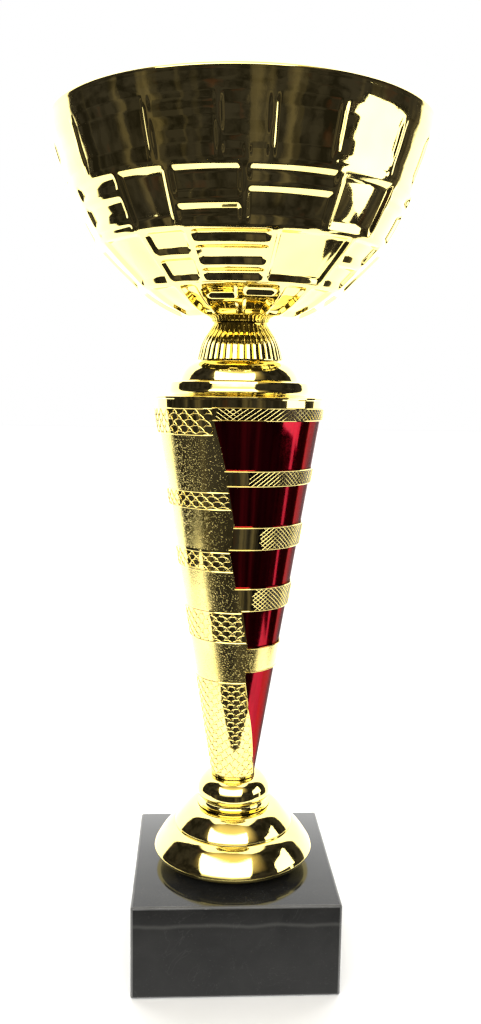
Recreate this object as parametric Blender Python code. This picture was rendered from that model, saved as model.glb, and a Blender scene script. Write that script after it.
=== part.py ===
"""Cup trophy: a gold bowl on a fluted riser, a red and gold tapered column, a two-tier foot and a
square marble base, all clamped together by one threaded rod.

Metres, +Z up. The origin is the centre of the base's underside, and the front faces -Y.
"""

import math

import bmesh
import bpy

# Driving dimensions, in metres.
BASE_SIDE = 0.075
BASE_HEIGHT = 0.0345
BASE_EDGE = 0.0009
COUNTERBORE_RADIUS = 0.0135
COUNTERBORE_DEPTH = 0.0105

GAP = 0.0003
ROD_RADIUS = 0.0029
BORE_RADIUS = 0.0033
ROD_RECESS = 0.0022
NUT_ACROSS_FLATS = 0.010
NUT_HEIGHT = 0.005
DOME_NUT_HEIGHT = 0.0105
WASHER_THICKNESS = 0.0012

FOOT_TOP = 0.0570
RING_TOP = 0.0685
COLUMN_TOP = 0.2120
COLUMN_WAIST = 0.2060
COLUMN_BOTTOM_RADIUS = 0.00877
COLUMN_WAIST_RADIUS = 0.03103
COLUMN_TOP_RADIUS = 0.0314
SLEEVE_THICKNESS = 0.0006
SLEEVE_GAP = 0.0006
CORE_WALL = 0.0018
CAP_TOP = 0.2256
RISER_TOP = 0.2392
RIM_HEIGHT = 0.3075
RIM_RADIUS = 0.0684
BOWL_WALL = 0.0020
SHELL_WALL = 0.0016

ROUND_STEPS = 48
MEDIUM_STEPS = 36
SMALL_STEPS = 16
CURVE_STEPS = 2
SHARP_ANGLE = math.radians(35)

# The sleeve's windows: the bottom and top height of each, from the top one down. Between them are the
# fingers that wrap round the cone.
WINDOWS = (
    (0.1875, 0.2045),
    (0.1675, 0.1818),
    (0.1450, 0.1590),
    (0.1220, 0.1362),
)
LOWEST_WINDOW_TOP = 0.1125
# Where the spine's front edge stands, in degrees from the front towards +X, at some heights.
SPINE_FRONT_EDGE = (
    (0.2045, -19.0),
    (0.1875, -11.5),
    (0.1590, -9.0),
    (0.1362, 4.0),
    (0.1085, 11.0),
    (0.0720, 54.0),
)
# The back edge mirrors the front edge about this direction.
SLEEVE_MIRROR_ANGLE = -100.0
SPINE_COLUMNS = 16
FINGER_COLUMNS = 20


def clear_scene():
    for thing in list(bpy.data.objects):
        bpy.data.objects.remove(thing, do_unlink=True)


def make_material(name, colour, metallic, roughness):
    material = bpy.data.materials.new(name)
    material.use_nodes = True
    shader = material.node_tree.nodes["Principled BSDF"]
    shader.inputs["Base Color"].default_value = (*colour, 1.0)
    shader.inputs["Metallic"].default_value = metallic
    shader.inputs["Roughness"].default_value = roughness
    return material


def make_materials():
    return {
        "marble": make_material("dark_marble", (0.045, 0.045, 0.042), 0.0, 0.25),
        "gold": make_material("gold_plating", (0.95, 0.78, 0.32), 1.0, 0.10),
        "red": make_material("red_lacquer", (0.55, 0.02, 0.06), 0.8, 0.15),
        "steel": make_material("zinc_steel", (0.62, 0.62, 0.60), 0.9, 0.35),
    }


def add_object(name, mesh, material):
    """Shades the mesh smooth up to the sharp angle and puts it in the scene."""
    mesh.shade_smooth()
    mesh.set_sharp_from_angle(angle=SHARP_ANGLE)
    mesh.materials.append(material)
    piece = bpy.data.objects.new(name, mesh)
    bpy.context.scene.collection.objects.link(piece)
    return piece


def finish_mesh(name, bm):
    bmesh.ops.recalc_face_normals(bm, faces=bm.faces)
    mesh = bpy.data.meshes.new(name)
    bm.to_mesh(mesh)
    bm.free()
    return mesh


def curve_through(points, steps=CURVE_STEPS):
    """A Catmull-Rom curve through (radius, height) points, with this many pieces between each two."""
    first = points[0]
    last = points[-1]
    held = [first, *points, last]
    curve = []
    for i in range(len(points) - 1):
        p0, p1, p2, p3 = held[i : i + 4]
        for step in range(steps):
            t = step / steps
            curve.append(
                tuple(
                    0.5
                    * (
                        2 * b
                        + (c - a) * t
                        + (2 * a - 5 * b + 4 * c - d) * t**2
                        + (3 * b - a - 3 * c + d) * t**3
                    )
                    for a, b, c, d in zip(p0, p1, p2, p3)
                )
            )
    curve.append(last)
    return curve


def offset_inwards(curve, wall):
    """The same curve moved towards the inside of the shell, for a curve that runs down the outside."""
    moved = []
    for i, (radius, height) in enumerate(curve):
        before = curve[max(i - 1, 0)]
        after = curve[min(i + 1, len(curve) - 1)]
        along_r = after[0] - before[0]
        along_z = after[1] - before[1]
        length = math.hypot(along_r, along_z)
        moved.append((radius + wall * along_z / length, height - wall * along_r / length))
    return moved


def spin_profile(name, profile, steps=ROUND_STEPS):
    """Turns a closed outline of (radius, height) points about the Z axis."""
    bm = bmesh.new()
    verts = [bm.verts.new((radius, 0.0, height)) for radius, height in profile]
    edges = [bm.edges.new((verts[i - 1], verts[i])) for i in range(len(verts))]
    bmesh.ops.spin(
        bm,
        geom=verts + edges,
        axis=(0.0, 0.0, 1.0),
        cent=(0.0, 0.0, 0.0),
        angle=math.tau,
        steps=steps,
        use_merge=True,
    )
    return finish_mesh(name, bm)


def make_washer(name, bottom, outer_radius, material):
    profile = [
        (outer_radius, bottom + WASHER_THICKNESS),
        (outer_radius, bottom),
        (BORE_RADIUS, bottom),
        (BORE_RADIUS, bottom + WASHER_THICKNESS),
    ]
    return add_object(name, spin_profile(name, profile, SMALL_STEPS * 2), material)


def add_cutter(name, mesh):
    cutter = bpy.data.objects.new(name, mesh)
    bpy.context.scene.collection.objects.link(cutter)
    cutter.hide_render = True
    cutter.display_type = "WIRE"
    return cutter


def cut_with(piece, cutter):
    cut = piece.modifiers.new("Cut", "BOOLEAN")
    cut.operation = "DIFFERENCE"
    cut.solver = "EXACT"
    cut.object = cutter


def make_marble_base(materials):
    """The stone block, drilled through for the rod and counterbored from below."""
    bm = bmesh.new()
    bmesh.ops.create_cube(bm, size=1.0)
    bmesh.ops.scale(bm, vec=(BASE_SIDE, BASE_SIDE, BASE_HEIGHT), verts=bm.verts)
    bmesh.ops.translate(bm, vec=(0.0, 0.0, BASE_HEIGHT / 2), verts=bm.verts)
    bmesh.ops.bevel(bm, geom=bm.edges[:], offset=BASE_EDGE, segments=2, profile=0.5, affect="EDGES")
    base = add_object("marble_base", finish_mesh("marble_base", bm), materials["marble"])
    overshoot = 0.005
    hole = bmesh.new()
    outline = [
        (BORE_RADIUS + GAP, BASE_HEIGHT + overshoot),
        (BORE_RADIUS + GAP, COUNTERBORE_DEPTH),
        (COUNTERBORE_RADIUS, COUNTERBORE_DEPTH),
        (COUNTERBORE_RADIUS, -overshoot),
    ]
    angles = [math.tau * i / SMALL_STEPS for i in range(SMALL_STEPS)]
    rings = [
        [hole.verts.new((r * math.cos(a), r * math.sin(a), z)) for a in angles] for r, z in outline
    ]
    for upper, lower in zip(rings, rings[1:]):
        for i in range(SMALL_STEPS):
            hole.faces.new((upper[i - 1], upper[i], lower[i], lower[i - 1]))
    hole.faces.new(rings[0])
    hole.faces.new(rings[-1])
    cut_with(base, add_cutter("base_hole_cutter", finish_mesh("base_hole_cutter", hole)))
    return base


def make_tie_rod(materials):
    bottom = ROD_RECESS
    top = bowl_floor_height() + WASHER_THICKNESS + GAP + DOME_NUT_HEIGHT * 0.55
    bm = bmesh.new()
    bmesh.ops.create_cone(
        bm,
        cap_ends=True,
        segments=SMALL_STEPS,
        radius1=ROD_RADIUS,
        radius2=ROD_RADIUS,
        depth=top - bottom,
    )
    bmesh.ops.translate(bm, vec=(0.0, 0.0, (top + bottom) / 2), verts=bm.verts)
    return add_object("tie_rod", finish_mesh("tie_rod", bm), materials["steel"])


def hexagon_prism(bottom, top):
    bm = bmesh.new()
    bmesh.ops.create_cone(
        bm,
        cap_ends=True,
        segments=6,
        radius1=NUT_ACROSS_FLATS / math.sqrt(3),
        radius2=NUT_ACROSS_FLATS / math.sqrt(3),
        depth=top - bottom,
    )
    bmesh.ops.translate(bm, vec=(0.0, 0.0, (top + bottom) / 2), verts=bm.verts)
    return bm


def bore_cutter(name, bottom, top):
    """A cylinder that clears the rod."""
    bm = bmesh.new()
    bmesh.ops.create_cone(
        bm,
        cap_ends=True,
        segments=SMALL_STEPS,
        radius1=BORE_RADIUS,
        radius2=BORE_RADIUS,
        depth=top - bottom,
    )
    bmesh.ops.translate(bm, vec=(0.0, 0.0, (top + bottom) / 2), verts=bm.verts)
    return add_cutter(name, finish_mesh(name, bm))


def make_base_fasteners(materials):
    washer_bottom = COUNTERBORE_DEPTH - GAP - WASHER_THICKNESS
    make_washer("base_washer", washer_bottom, COUNTERBORE_RADIUS - 0.0015, materials["steel"])
    nut_top = washer_bottom - GAP
    nut_bottom = nut_top - NUT_HEIGHT
    bm = hexagon_prism(nut_bottom, nut_top)
    nut = add_object("base_nut", finish_mesh("base_nut", bm), materials["steel"])
    cut_with(nut, bore_cutter("base_nut_cutter", nut_bottom - 0.001, nut_top + 0.001))


def make_bowl_fasteners(materials):
    """A washer and a dome nut: a hexagon below, a round crown above, drilled blind from below."""
    floor = bowl_floor_height()
    make_washer("bowl_washer", floor + GAP, 0.0085, materials["steel"])
    bottom = floor + 2 * GAP + WASHER_THICKNESS
    top = bottom + DOME_NUT_HEIGHT
    hexagon_top = bottom + DOME_NUT_HEIGHT * 0.5
    crown_radius = NUT_ACROSS_FLATS / 2 - 0.0003
    bm = hexagon_prism(bottom, hexagon_top)
    crown = bmesh.ops.create_uvsphere(bm, u_segments=SMALL_STEPS, v_segments=12, radius=crown_radius)
    bmesh.ops.translate(bm, vec=(0.0, 0.0, top - crown_radius), verts=crown["verts"])
    nut = add_object("bowl_nut", finish_mesh("bowl_nut", bm), materials["steel"])
    cut = nut.modifiers.new("Cut", "BOOLEAN")
    cut.operation = "DIFFERENCE"
    cut.solver = "EXACT"
    cut.use_self = True
    cut.object = bore_cutter("bowl_nut_cutter", bottom - 0.001, bottom + DOME_NUT_HEIGHT * 0.62)


def make_foot(materials):
    """Two domed tiers as one thin shell, open below."""
    bottom = BASE_HEIGHT + GAP
    lower_tier = curve_through(
        [
            (0.0230, 0.0493),
            (0.0245, 0.0487),
            (0.0281, 0.0446),
            (0.03045, 0.0406),
            (0.0293, 0.0383),
            (0.0256, 0.0361),
            (0.0218, bottom),
        ]
    )
    upper_tier = curve_through(
        [
            (0.0150, FOOT_TOP),
            (0.0174, 0.0563),
            (0.0202, 0.0534),
            (0.0222, 0.0509),
            (0.0226, 0.0496),
        ]
    )
    inside = [
        (0.0202, bottom),
        (0.0252, 0.0374),
        (0.0282, 0.0393),
        (0.0288, 0.0407),
        (0.0267, 0.0437),
        (0.0233, 0.0472),
        (0.0211, 0.0490),
        (0.0206, 0.0505),
        (0.0190, 0.0523),
        (0.0164, 0.0549),
        (0.0146, FOOT_TOP - SHELL_WALL),
    ]
    profile = (
        [(BORE_RADIUS, FOOT_TOP)]
        + upper_tier
        + lower_tier
        + inside
        + [(BORE_RADIUS, FOOT_TOP - SHELL_WALL)]
    )
    return add_object("foot", spin_profile("foot", profile, MEDIUM_STEPS), materials["gold"])


def make_neck_ring(materials):
    bottom = FOOT_TOP + GAP
    rounded = curve_through(
        [
            (0.0090, RING_TOP),
            (0.0110, 0.0680),
            (0.0130, 0.0660),
            (0.0140, 0.0631),
            (0.0136, 0.0610),
            (0.0124, 0.0601),
        ]
    )
    profile = [
        (BORE_RADIUS, RING_TOP),
        *rounded,
        (0.0120, 0.0597),
        (0.0120, bottom),
        (BORE_RADIUS, bottom),
    ]
    return add_object("neck_ring", spin_profile("neck_ring", profile, MEDIUM_STEPS), materials["gold"])


def column_radius(height):
    """The radius of the column's outside: a long cone, with a nearly upright band at the top."""
    if height < COLUMN_WAIST:
        bottom = RING_TOP + GAP
        share = (height - bottom) / (COLUMN_WAIST - bottom)
        return COLUMN_BOTTOM_RADIUS + share * (COLUMN_WAIST_RADIUS - COLUMN_BOTTOM_RADIUS)
    share = (height - COLUMN_WAIST) / (COLUMN_TOP - COLUMN_WAIST)
    return COLUMN_WAIST_RADIUS + share * (COLUMN_TOP_RADIUS - COLUMN_WAIST_RADIUS)


def make_column_core(materials):
    """The hollow red cone, with a floor that the rod goes through, open at the top."""
    bottom = RING_TOP + GAP
    top = COLUMN_TOP - GAP
    inset = SLEEVE_THICKNESS + SLEEVE_GAP
    floor = bottom + CORE_WALL
    heights = [top, COLUMN_WAIST, bottom]
    outside = [(column_radius(z) - inset, z) for z in heights]
    inner_heights = [floor, COLUMN_WAIST, top]
    inside = [(column_radius(z) - inset - CORE_WALL, z) for z in inner_heights]
    profile = outside + [(BORE_RADIUS, bottom), (BORE_RADIUS, floor)] + inside
    return add_object("column_core", spin_profile("column_core", profile), materials["red"])


def edge_angle(height):
    """The angle of the spine's front edge at this height, from the front towards +X, in degrees."""
    points = SPINE_FRONT_EDGE
    if height >= points[0][0]:
        return points[0][1]
    for (z0, a0), (z1, a1) in zip(points, points[1:]):
        if height >= z1:
            return a0 + (a1 - a0) * (z0 - height) / (z0 - z1)
    return points[-1][1]


def sleeve_heights():
    """The sleeve's level lines, top to bottom, with whether the band below each has a window."""
    levels = [(COLUMN_TOP - GAP, False), (COLUMN_WAIST, False)]
    for bottom, top in WINDOWS:
        levels.append((top, True))
        levels.append((bottom, False))
    levels.append((LOWEST_WINDOW_TOP, True))
    bottom = RING_TOP + GAP
    steps = 4
    for i in range(1, steps + 1):
        levels.append((LOWEST_WINDOW_TOP + (bottom - LOWEST_WINDOW_TOP) * i / steps, True))
    return levels


def make_column_sleeve(materials):
    """The gold comb: a spine all the way down, and fingers round the cone between the windows."""
    bm = bmesh.new()
    rings = []
    levels = sleeve_heights()
    for height, _ in levels:
        front = edge_angle(height)
        back = 2 * SLEEVE_MIRROR_ANGLE - front
        angles = [back + (front - back) * i / SPINE_COLUMNS for i in range(SPINE_COLUMNS)]
        angles += [front + (back + 360 - front) * i / FINGER_COLUMNS for i in range(FINGER_COLUMNS)]
        radius = column_radius(height)
        ring = []
        for angle in angles:
            turn = math.radians(angle)
            ring.append(bm.verts.new((radius * math.sin(turn), -radius * math.cos(turn), height)))
        rings.append(ring)
    count = SPINE_COLUMNS + FINGER_COLUMNS
    for row, (_, has_window) in enumerate(levels[:-1]):
        for i in range(SPINE_COLUMNS if has_window else count):
            j = (i + 1) % count
            bm.faces.new((rings[row][i], rings[row][j], rings[row + 1][j], rings[row + 1][i]))
    sleeve = add_object("column_sleeve", finish_mesh("column_sleeve", bm), materials["gold"])
    wall = sleeve.modifiers.new("Wall", "SOLIDIFY")
    wall.thickness = SLEEVE_THICKNESS
    wall.offset = -1.0
    wall.use_even_offset = True
    return sleeve


def make_column_cap(materials):
    """The stepped lid of the column, with a rim below that centres it in the cone."""
    rim = column_radius(COLUMN_TOP) - SLEEVE_THICKNESS - SLEEVE_GAP - CORE_WALL - 2 * GAP
    rim_drop = 0.0030
    crown = curve_through(
        [
            (0.0160, CAP_TOP),
            (0.0186, 0.2243),
            (0.0210, 0.2216),
            (0.0219, 0.2194),
        ]
    )
    wall = curve_through([(0.0259, 0.2178), (0.0266, 0.2155), (0.0280, 0.2136)])
    profile = (
        [(BORE_RADIUS, CAP_TOP)]
        + crown
        + [(0.0221, 0.2185), (0.0254, 0.2184)]
        + wall
        + [(0.0312, 0.2129), (0.0318, 0.2126), (0.0318, COLUMN_TOP)]
        + [(rim, COLUMN_TOP), (rim, COLUMN_TOP - rim_drop)]
        + [(rim - SHELL_WALL, COLUMN_TOP - rim_drop), (rim - SHELL_WALL, COLUMN_TOP)]
        + [(0.0243, 0.2162), (0.0205, 0.2168)]
        + [(0.0192, 0.2207), (0.0150, CAP_TOP - SHELL_WALL), (BORE_RADIUS, CAP_TOP - SHELL_WALL)]
    )
    return add_object("column_cap", spin_profile("column_cap", profile, MEDIUM_STEPS), materials["gold"])


def make_fluted_riser(materials):
    """The bell under the bowl. Its flutes stay inside this outline."""
    bottom = CAP_TOP + GAP
    outside = curve_through(
        [
            (0.0100, RISER_TOP),
            (0.0113, 0.2370),
            (0.0132, 0.2341),
            (0.0149, 0.2304),
            (0.0157, bottom + 0.0006),
        ]
    )
    inside = offset_inwards(outside[1:], SHELL_WALL)
    profile = (
        [(BORE_RADIUS, RISER_TOP)]
        + outside
        + [(0.0162, bottom), (0.0157 - SHELL_WALL, bottom)]
        + inside[::-1]
        + [(BORE_RADIUS, RISER_TOP - SHELL_WALL)]
    )
    return add_object("fluted_riser", spin_profile("fluted_riser", profile, MEDIUM_STEPS), materials["gold"])


def bowl_outside():
    """The bowl's outline from the rim down to the top of its neck."""
    return curve_through(
        [
            (RIM_RADIUS, RIM_HEIGHT - 0.0006),
            (0.0663, 0.2975),
            (0.0624, 0.2865),
            (0.0563, 0.2732),
            (0.0483, 0.2615),
            (0.0373, 0.2510),
            (0.0275, 0.2440),
            (0.0190, 0.2406),
            (0.0140, 0.2398),
        ]
    )


def bowl_floor_height():
    return RISER_TOP + GAP + 0.0035


def make_bowl(materials):
    """The bowl as a shell, with a short neck below and a flat floor for the washer."""
    outside = bowl_outside()
    inside = offset_inwards(outside[1:-6], BOWL_WALL)
    floor = bowl_floor_height()
    neck = RISER_TOP + GAP
    profile = (
        [(RIM_RADIUS - 0.0005, RIM_HEIGHT)]
        + outside
        + [(0.0118, neck), (BORE_RADIUS, neck), (BORE_RADIUS, floor)]
        + [(0.0120, floor), (0.0190, floor + 0.0007)]
        + inside[::-1]
        + [(RIM_RADIUS - BOWL_WALL, RIM_HEIGHT - 0.0006), (RIM_RADIUS - BOWL_WALL + 0.0005, RIM_HEIGHT)]
    )
    return add_object("bowl", spin_profile("bowl", profile), materials["gold"])


def main():
    clear_scene()
    materials = make_materials()
    make_marble_base(materials)
    make_tie_rod(materials)
    make_base_fasteners(materials)
    make_foot(materials)
    make_neck_ring(materials)
    make_column_core(materials)
    make_column_sleeve(materials)
    make_column_cap(materials)
    make_fluted_riser(materials)
    make_bowl(materials)
    make_bowl_fasteners(materials)


main()
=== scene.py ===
"""Looks for the cup trophy: a gold bowl of pressed panels, a fluted riser, a stepped cap, a red cone in a
gold comb, a neck ring, a two-tier foot and a dark marble base.

Metres, +Z up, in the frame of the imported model: the origin is the centre of the base's underside and the
front faces -Y. Heights and radii in the tables below are in millimetres, angles in degrees from the front
towards +X.
"""

import math

import bmesh
import bpy
import numpy as np
from mathutils import Matrix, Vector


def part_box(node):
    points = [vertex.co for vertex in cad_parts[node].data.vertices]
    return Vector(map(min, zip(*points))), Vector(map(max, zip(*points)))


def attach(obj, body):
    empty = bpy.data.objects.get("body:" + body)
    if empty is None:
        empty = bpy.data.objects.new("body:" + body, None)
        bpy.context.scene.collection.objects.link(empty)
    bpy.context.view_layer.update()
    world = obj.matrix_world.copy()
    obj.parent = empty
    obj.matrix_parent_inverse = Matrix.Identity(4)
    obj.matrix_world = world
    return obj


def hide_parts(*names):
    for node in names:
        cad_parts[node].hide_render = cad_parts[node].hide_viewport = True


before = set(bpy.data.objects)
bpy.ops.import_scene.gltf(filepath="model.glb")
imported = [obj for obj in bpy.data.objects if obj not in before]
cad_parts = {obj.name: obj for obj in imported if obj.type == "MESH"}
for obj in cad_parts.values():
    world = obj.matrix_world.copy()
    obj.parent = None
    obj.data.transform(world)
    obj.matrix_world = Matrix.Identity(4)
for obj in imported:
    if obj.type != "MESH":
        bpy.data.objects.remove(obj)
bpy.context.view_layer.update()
BODY = "root"
MM = 0.001

TURN_STEPS = 144
SHARP_ANGLE = math.radians(38)
BORE = 3.3

# ---- meshes ----


class Shape:
    """Collects the points, in mm, and the faces of one mesh."""

    def __init__(self):
        self.points = []
        self.faces = []
        self.slots = []

    def add_points(self, points):
        points = np.asarray(points, float).reshape(-1, 3)
        first = len(self.points)
        self.points.extend(map(tuple, points))
        return np.arange(first, first + len(points))

    def add_polar(self, radius, angle, height):
        """Adds points round the Z axis. The three arrays broadcast, and the result keeps their shape."""
        radius, angle, height = np.broadcast_arrays(radius, np.radians(angle), height)
        xyz = np.stack([radius * np.sin(angle), -radius * np.cos(angle), height + 0.0 * angle], -1)
        return self.add_points(xyz).reshape(radius.shape)

    def add_face(self, face, slot=0):
        self.faces.append(tuple(int(i) for i in face))
        self.slots.append(slot)

    def add_grid(self, index, slot=0, wrap_rows=False):
        """Quads between neighbours of an array of point numbers whose rows are closed rings."""
        index = np.concatenate([index, index[:, :1]], 1)
        if wrap_rows:
            index = np.concatenate([index, index[:1]], 0)
        quads = np.stack([index[:-1, :-1], index[:-1, 1:], index[1:, 1:], index[1:, :-1]], -1)
        quads = quads.reshape(-1, 4)
        self.faces.extend(map(tuple, quads.tolist()))
        self.slots.extend([slot] * len(quads))

    def add_capped(self, outline, angle):
        """Turns (radius, height) points about the Z axis and closes both ends."""
        rings = np.array(outline, float)
        index = self.add_polar(rings[:, :1], angle, rings[:, 1:])
        self.add_grid(index)
        self.add_face(index[0])
        self.add_face(index[-1])

    def add_bridge(self, upper, upper_angles, lower, lower_angles, slot=0):
        """Triangles between two closed rings whose points stand at different angles."""
        i = j = 0
        count_upper, count_lower = len(upper), len(lower)
        while i < count_upper or j < count_lower:
            next_upper = upper_angles[(i + 1) % count_upper] + 360.0 * ((i + 1) // count_upper)
            next_lower = lower_angles[(j + 1) % count_lower] + 360.0 * ((j + 1) // count_lower)
            here = (upper[i % count_upper], lower[j % count_lower])
            if j >= count_lower or (i < count_upper and next_upper <= next_lower):
                self.add_face((here[0], upper[(i + 1) % count_upper], here[1]), slot)
                i += 1
            else:
                self.add_face((here[0], lower[(j + 1) % count_lower], here[1]), slot)
                j += 1

    def to_mesh(self, name, materials, sharp=SHARP_ANGLE):
        mesh = bpy.data.meshes.new(name)
        mesh.from_pydata(np.asarray(self.points) * MM, [], self.faces)
        for material in materials:
            mesh.materials.append(material)
        mesh.polygons.foreach_set("material_index", np.asarray(self.slots, np.int32))
        bm = bmesh.new()
        bm.from_mesh(mesh)
        loose = [v for v in bm.verts if not v.link_faces]
        bmesh.ops.delete(bm, geom=loose, context="VERTS")
        bmesh.ops.recalc_face_normals(bm, faces=bm.faces)
        bm.to_mesh(mesh)
        bm.free()
        mesh.shade_smooth()
        mesh.set_sharp_from_angle(angle=sharp)
        return mesh


def place(name, mesh, node, slot):
    """Puts a piece in the scene, on the body, in the place of a CAD node."""
    piece = bpy.data.objects.new(name, mesh)
    bpy.context.scene.collection.objects.link(piece)
    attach(piece, BODY)
    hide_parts(node)


def curve_through(points, steps=6):
    """A Catmull-Rom curve through (radius, height) points."""
    held = np.array([points[0], *points, points[-1]], float)
    curve = []
    for p0, p1, p2, p3 in zip(held, held[1:], held[2:], held[3:]):
        for step in range(steps):
            t = step / steps
            bend = (2 * p0 - 5 * p1 + 4 * p2 - p3) * t**2 + (3 * p1 - p0 - 3 * p2 + p3) * t**3
            curve.append(tuple(0.5 * (2 * p1 + (p2 - p0) * t + bend)))
    curve.append(tuple(points[-1]))
    return curve


def ease_corners(outline, steps=4):
    """Rounds the corners of a closed outline. A point is (radius, height) or (radius, height, reach)."""
    eased = []
    count = len(outline)
    for i, point in enumerate(outline):
        here = np.array(point[:2], float)
        if len(point) < 3:
            eased.append(tuple(here))
            continue
        before = np.array(outline[i - 1][:2], float)
        after = np.array(outline[(i + 1) % count][:2], float)
        start = here + (before - here) * min(0.5, point[2] / np.linalg.norm(before - here))
        end = here + (after - here) * min(0.5, point[2] / np.linalg.norm(after - here))
        for step in range(steps + 1):
            t = step / steps
            eased.append(tuple((1 - t) ** 2 * start + 2 * t * (1 - t) * here + t * t * end))
    return eased


def even_angles(steps):
    return np.arange(steps)[None, :] * 360.0 / steps


def place_turned(name, node, slot, outline, material, steps=TURN_STEPS):
    """Turns a closed outline of (radius, height) points about the Z axis, and puts the piece in place."""
    shape = Shape()
    rings = np.array(outline, float)
    index = shape.add_polar(rings[:, :1], even_angles(steps), rings[:, 1:])
    shape.add_grid(index, wrap_rows=True)
    place(name, shape.to_mesh(name, [material]), node, slot)


def heights_of(node):
    """The lowest and highest point of a CAD node, in mm."""
    return (corner.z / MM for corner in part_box(node))


# ---- materials ----


def new_material(name, metallic=0.0):
    material = bpy.data.materials.new(name)
    material.use_nodes = True
    tree = material.node_tree
    shader = tree.nodes["Principled BSDF"]
    shader.inputs["Metallic"].default_value = metallic
    return material, tree, shader


def plug(tree, value, socket):
    """Links a socket to a socket, or sets a plain value on it."""
    if isinstance(value, bpy.types.NodeSocket):
        tree.links.new(value, socket)
    else:
        socket.default_value = value


def calculate(tree, operation, *values):
    node = tree.nodes.new("ShaderNodeMath")
    node.operation = operation
    for value, socket in zip(values, node.inputs):
        plug(tree, value, socket)
    return node.outputs[0]


def place_of(tree, stretch=(1.0, 1.0, 1.0)):
    """Object coordinates, stretched."""
    coordinates = tree.nodes.new("ShaderNodeTexCoord")
    mapping = tree.nodes.new("ShaderNodeMapping")
    mapping.inputs["Scale"].default_value = stretch
    tree.links.new(coordinates.outputs["Object"], mapping.inputs["Vector"])
    return mapping.outputs["Vector"]


def noise(tree, vector, scale, detail=3.0, roughness=0.55, distortion=0.0):
    node = tree.nodes.new("ShaderNodeTexNoise")
    plug(tree, vector, node.inputs["Vector"])
    node.inputs["Scale"].default_value = scale
    node.inputs["Detail"].default_value = detail
    node.inputs["Roughness"].default_value = roughness
    node.inputs["Distortion"].default_value = distortion
    return node.outputs["Fac"]


def span(tree, value, low, high, to_low=0.0, to_high=1.0, smooth=False):
    """Maps low..high to to_low..to_high and holds the ends."""
    node = tree.nodes.new("ShaderNodeMapRange")
    node.interpolation_type = "SMOOTHSTEP" if smooth else "LINEAR"
    plug(tree, value, node.inputs["Value"])
    for name, number in (("From Min", low), ("From Max", high), ("To Min", to_low), ("To Max", to_high)):
        plug(tree, number, node.inputs[name])
    return node.outputs["Result"]


def blend_colours(tree, share, first, second):
    node = tree.nodes.new("ShaderNodeMix")
    node.data_type = "RGBA"
    plug(tree, share, node.inputs["Factor"])
    plug(tree, (*first, 1.0) if isinstance(first, tuple) else first, node.inputs[6])
    plug(tree, (*second, 1.0) if isinstance(second, tuple) else second, node.inputs[7])
    return node.outputs[2]


def raise_surface(tree, height, distance, strength=1.0, below=None):
    node = tree.nodes.new("ShaderNodeBump")
    node.inputs["Strength"].default_value = strength
    node.inputs["Distance"].default_value = distance
    plug(tree, height, node.inputs["Height"])
    if below is not None:
        tree.links.new(below, node.inputs["Normal"])
    return node.outputs["Normal"]


def connect(tree, shader, colour, roughness, normal):
    tree.links.new(colour, shader.inputs["Base Color"])
    tree.links.new(roughness, shader.inputs["Roughness"])
    tree.links.new(normal, shader.inputs["Normal"])


BAND_HEIGHT = 0.0272
GOLD_LIGHT = (0.94, 0.79, 0.29)
GOLD_DEEP = (0.90, 0.74, 0.24)


def mirror_gold(name, smooth=0.035, rough=0.085):
    """Vacuum-plated gold: a mirror with faint waves, dust-fine haze and a slow drift in tone."""
    material, tree, shader = new_material(name, 1.0)
    place = place_of(tree)
    tone = span(tree, noise(tree, place, 45.0, 2.0), 0.35, 0.65)
    colour = blend_colours(tree, tone, GOLD_LIGHT, GOLD_DEEP)
    haze = span(tree, noise(tree, place, 700.0, 4.0, 0.7), 0.4, 0.75, smooth, rough)
    waves = raise_surface(tree, noise(tree, place, 190.0, 1.0), 0.0002, 0.25)
    skin = raise_surface(tree, noise(tree, place, 1400.0, 2.0), 0.00001, 0.4, waves)
    connect(tree, shader, colour, haze, skin)
    return material


def sand_gold():
    """Plated gold over a fine sand-grained moulding."""
    material, tree, shader = new_material("gold_sand", 1.0)
    place = place_of(tree)
    tone = span(tree, noise(tree, place, 60.0, 2.0), 0.35, 0.65)
    colour = blend_colours(tree, tone, GOLD_LIGHT, GOLD_DEEP)
    haze = span(tree, noise(tree, place, 900.0, 3.0), 0.35, 0.65, 0.12, 0.20)
    grains = span(tree, noise(tree, place, 2100.0, 1.0), 0.58, 0.80, smooth=True)
    coarse = raise_surface(tree, grains, 0.00014, 0.42)
    fine = raise_surface(tree, noise(tree, place, 3600.0, 2.0), 0.00006, 0.4, coarse)
    connect(tree, shader, colour, haze, fine)
    return material


def knurl_painted_shade_gold():
    """Gold between the lines of a knurl, painted near-black: a painted shade for the shadow in the cuts,
    not the gold's own colour.
    """
    material, tree, shader = new_material("gold_knurl_painted_shade", 1.0)
    place = place_of(tree)
    patches = span(tree, noise(tree, place, 1300.0, 2.0), 0.35, 0.65)
    colour = blend_colours(tree, patches, (0.020, 0.014, 0.009), (0.055, 0.040, 0.024))
    haze = span(tree, noise(tree, place, 500.0, 3.0), 0.35, 0.7, 0.24, 0.40)
    worn = raise_surface(tree, noise(tree, place, 1900.0, 2.0), 0.00008, 0.3)
    connect(tree, shader, colour, haze, worn)
    return material


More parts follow.
